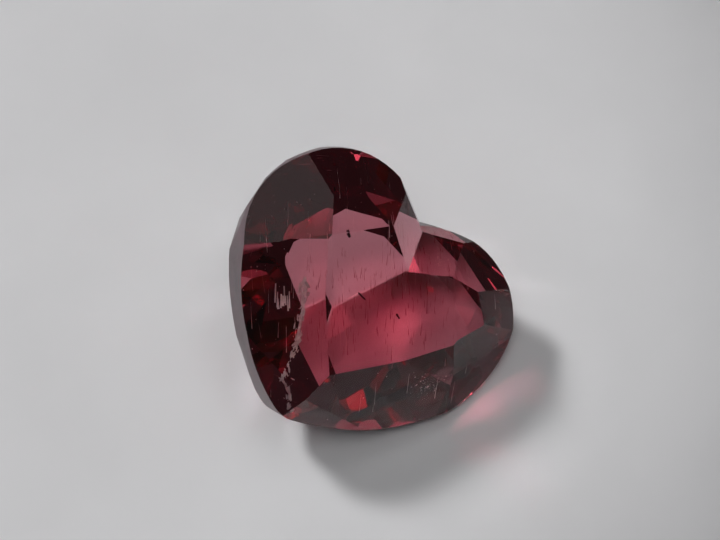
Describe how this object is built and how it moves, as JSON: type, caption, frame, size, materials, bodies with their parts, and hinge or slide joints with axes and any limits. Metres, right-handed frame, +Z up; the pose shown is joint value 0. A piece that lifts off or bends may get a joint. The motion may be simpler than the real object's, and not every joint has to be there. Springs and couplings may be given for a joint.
{
  "type": "heart-cut tourmaline gemstone",
  "caption": "Loose heart-shaped faceted tourmaline in deep red-pink, with a small flat table, ground girdle and an off-centre pavilion, lying tilted on one pavilion facet.",
  "frame": {"origin": "on the ground, under the middle of the lying stone's box", "axes": "+Z up, the stone lying on one flank facet of its pavilion; -Y is the side that the table leans toward"},
  "size_m": [0.008, 0.0068, 0.0061],
  "materials": {
    "tourmaline": "polished facets, ground girdle"
  },
  "bodies": {
    "root": {"tourmaline": "tourmaline"}
  },
  "joints": []
}
